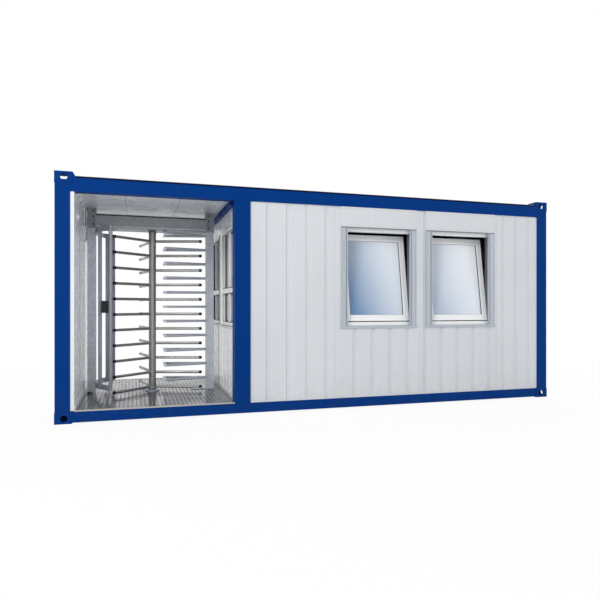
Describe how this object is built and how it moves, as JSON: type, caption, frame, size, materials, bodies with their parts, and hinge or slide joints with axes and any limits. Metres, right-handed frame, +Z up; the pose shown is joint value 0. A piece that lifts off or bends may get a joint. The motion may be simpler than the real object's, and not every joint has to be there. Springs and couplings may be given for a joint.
{
  "type": "office container",
  "caption": "Steel-framed office container with a ribbed office room, tilted windows and an open bay that holds a full-height turnstile.",
  "frame": {"origin": "centre of the footprint, at the level of the feet", "axes": "+X along the length towards the office end, +Y from the window side towards the rear, +Z up"},
  "size_m": [6.058, 2.438, 2.591],
  "materials": {
    "frame_paint": "satin",
    "floor_frame": "matt",
    "tread_plate": "worn",
    "office_flooring": "matt",
    "ceiling_panel": "satin",
    "roof_metal": "satin",
    "wall_panel": "satin",
    "lining_panel": "satin",
    "window_plastic": "gloss",
    "window_pane": "gloss",
    "shutter_aluminium": "satin",
    "door_paint": "satin",
    "galvanised_steel": "satin",
    "black_plastic": "matt"
  },
  "bodies": {
    "container": {"bottom_corner_fittings": "frame_paint", "top_corner_fittings": "frame_paint", "front_left_post": "frame_paint", "front_middle_post": "frame_paint", "front_right_post": "frame_paint", "rear_left_post": "frame_paint", "rear_middle_post": "frame_paint", "rear_right_post": "frame_paint", "front_bottom_rail": "frame_paint", "rear_bottom_rail": "frame_paint", "end_bottom_rails": "frame_paint", "front_top_rail": "frame_paint", "rear_top_rail": "frame_paint", "end_top_rails": "frame_paint", "partition_head_beam": "frame_paint", "floor_structure": "floor_frame", "bay_floor_plate": "tread_plate", "office_floor": "office_flooring", "ceiling_panels": "ceiling_panel", "roof_sheet": "roof_metal", "left_end_wall": "wall_panel", "right_end_wall": "wall_panel", "front_wall": "wall_panel", "rear_wall": "wall_panel", "shutter_box_covers": "wall_panel", "bay_lining": "lining_panel", "partition": "lining_panel", "partition_window_frames": "window_plastic", "window_frames": "window_plastic", "window_sashes": "window_plastic", "partition_window_glass": "window_pane", "window_glass": "window_pane", "shutter_guides": "shutter_aluminium", "window_sills": "shutter_aluminium", "door_frame": "door_paint", "door_leaf": "door_paint", "portal_posts": "galvanised_steel", "portal_head_box": "galvanised_steel", "rotor_floor_bearing": "galvanised_steel", "turnstile_comb": "galvanised_steel", "front_guard_cage": "galvanised_steel", "rear_guard_cage": "galvanised_steel", "card_reader": "black_plastic"},
    "rotor": {"rotor_column": "galvanised_steel", "rotor_wing_right": "galvanised_steel", "rotor_wing_rear": "galvanised_steel", "rotor_wing_left": "galvanised_steel"}
  },
  "joints": [
    {"name": "rotor_turn", "type": "hinge", "parent": "container", "child": "rotor", "pos_m": [-2.024, 0, 0.13], "axis": [0, 0, 1], "continuous": true}
  ]
}
